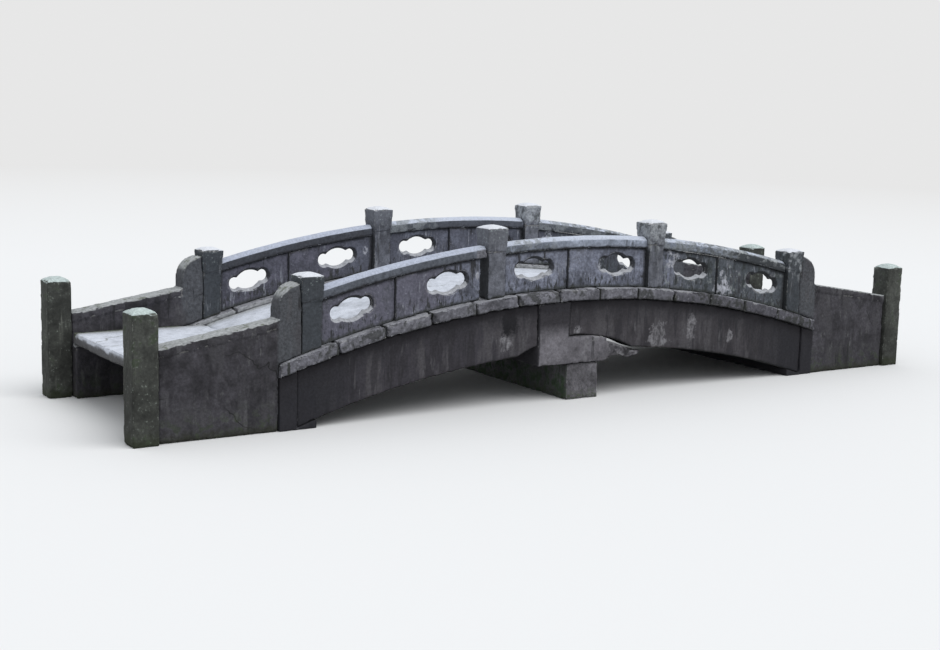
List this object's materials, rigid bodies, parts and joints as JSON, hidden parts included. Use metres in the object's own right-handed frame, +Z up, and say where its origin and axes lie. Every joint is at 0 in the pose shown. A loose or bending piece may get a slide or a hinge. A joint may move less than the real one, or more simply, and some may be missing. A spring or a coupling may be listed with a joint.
{
  "type": "garden moon bridge",
  "caption": "Arched garden foot bridge of weathered concrete and stone with square posts, round-topped handrails, pierced panels, a low pier and sloping wing walls",
  "frame": {"origin": "under the crown of the bridge, midway between its ends and its sides, at the level of the pond bed on which the pier, the abutments and the wing walls stand", "axes": "+X along the bridge to the right-hand end in the picture, +Y across it away from the picture's viewpoint, +Z up"},
  "size_m": [9.43, 2.55, 1.809],
  "materials": {
    "post_concrete": "weathered concrete with pale lichen on its tops",
    "rail_concrete": "weathered concrete, worn pale along its top",
    "panel_concrete": "weathered concrete with dark water stains",
    "curb_stone": "chipped grey stone",
    "girder_concrete": "dark stained concrete with white lime streaks",
    "paving": "pale worn concrete paving",
    "mossy_concrete": "damp concrete with green moss",
    "wall_concrete": "dark weathered concrete with a pale coping"
  },
  "bodies": {
    "root": {"near_left_end_post": "post_concrete", "near_left_post": "post_concrete", "near_right_post": "post_concrete", "near_right_end_post": "post_concrete", "far_left_end_post": "post_concrete", "far_left_post": "post_concrete", "far_right_post": "post_concrete", "far_right_end_post": "post_concrete", "near_left_rail": "rail_concrete", "near_middle_rail": "rail_concrete", "near_right_rail": "rail_concrete", "far_left_rail": "rail_concrete", "far_middle_rail": "rail_concrete", "far_right_rail": "rail_concrete", "near_left_panels": "panel_concrete", "near_middle_panels": "panel_concrete", "near_right_panels": "panel_concrete", "far_left_panels": "panel_concrete", "far_middle_panels": "panel_concrete", "far_right_panels": "panel_concrete", "near_struts": "panel_concrete", "far_struts": "panel_concrete", "near_left_curb": "curb_stone", "near_middle_curb": "curb_stone", "near_right_curb": "curb_stone", "far_left_curb": "curb_stone", "far_middle_curb": "curb_stone", "far_right_curb": "curb_stone", "near_left_girder": "girder_concrete", "near_right_girder": "girder_concrete", "far_left_girder": "girder_concrete", "far_right_girder": "girder_concrete", "deck_slab": "paving", "crosshead": "girder_concrete", "pier": "mossy_concrete", "left_abutment": "girder_concrete", "right_abutment": "girder_concrete", "near_left_wing_wall": "wall_concrete", "near_right_wing_wall": "wall_concrete", "far_left_wing_wall": "wall_concrete", "far_right_wing_wall": "wall_concrete", "left_landing": "paving", "right_landing": "paving", "left_bollards": "mossy_concrete", "right_bollards": "mossy_concrete"}
  },
  "joints": []
}
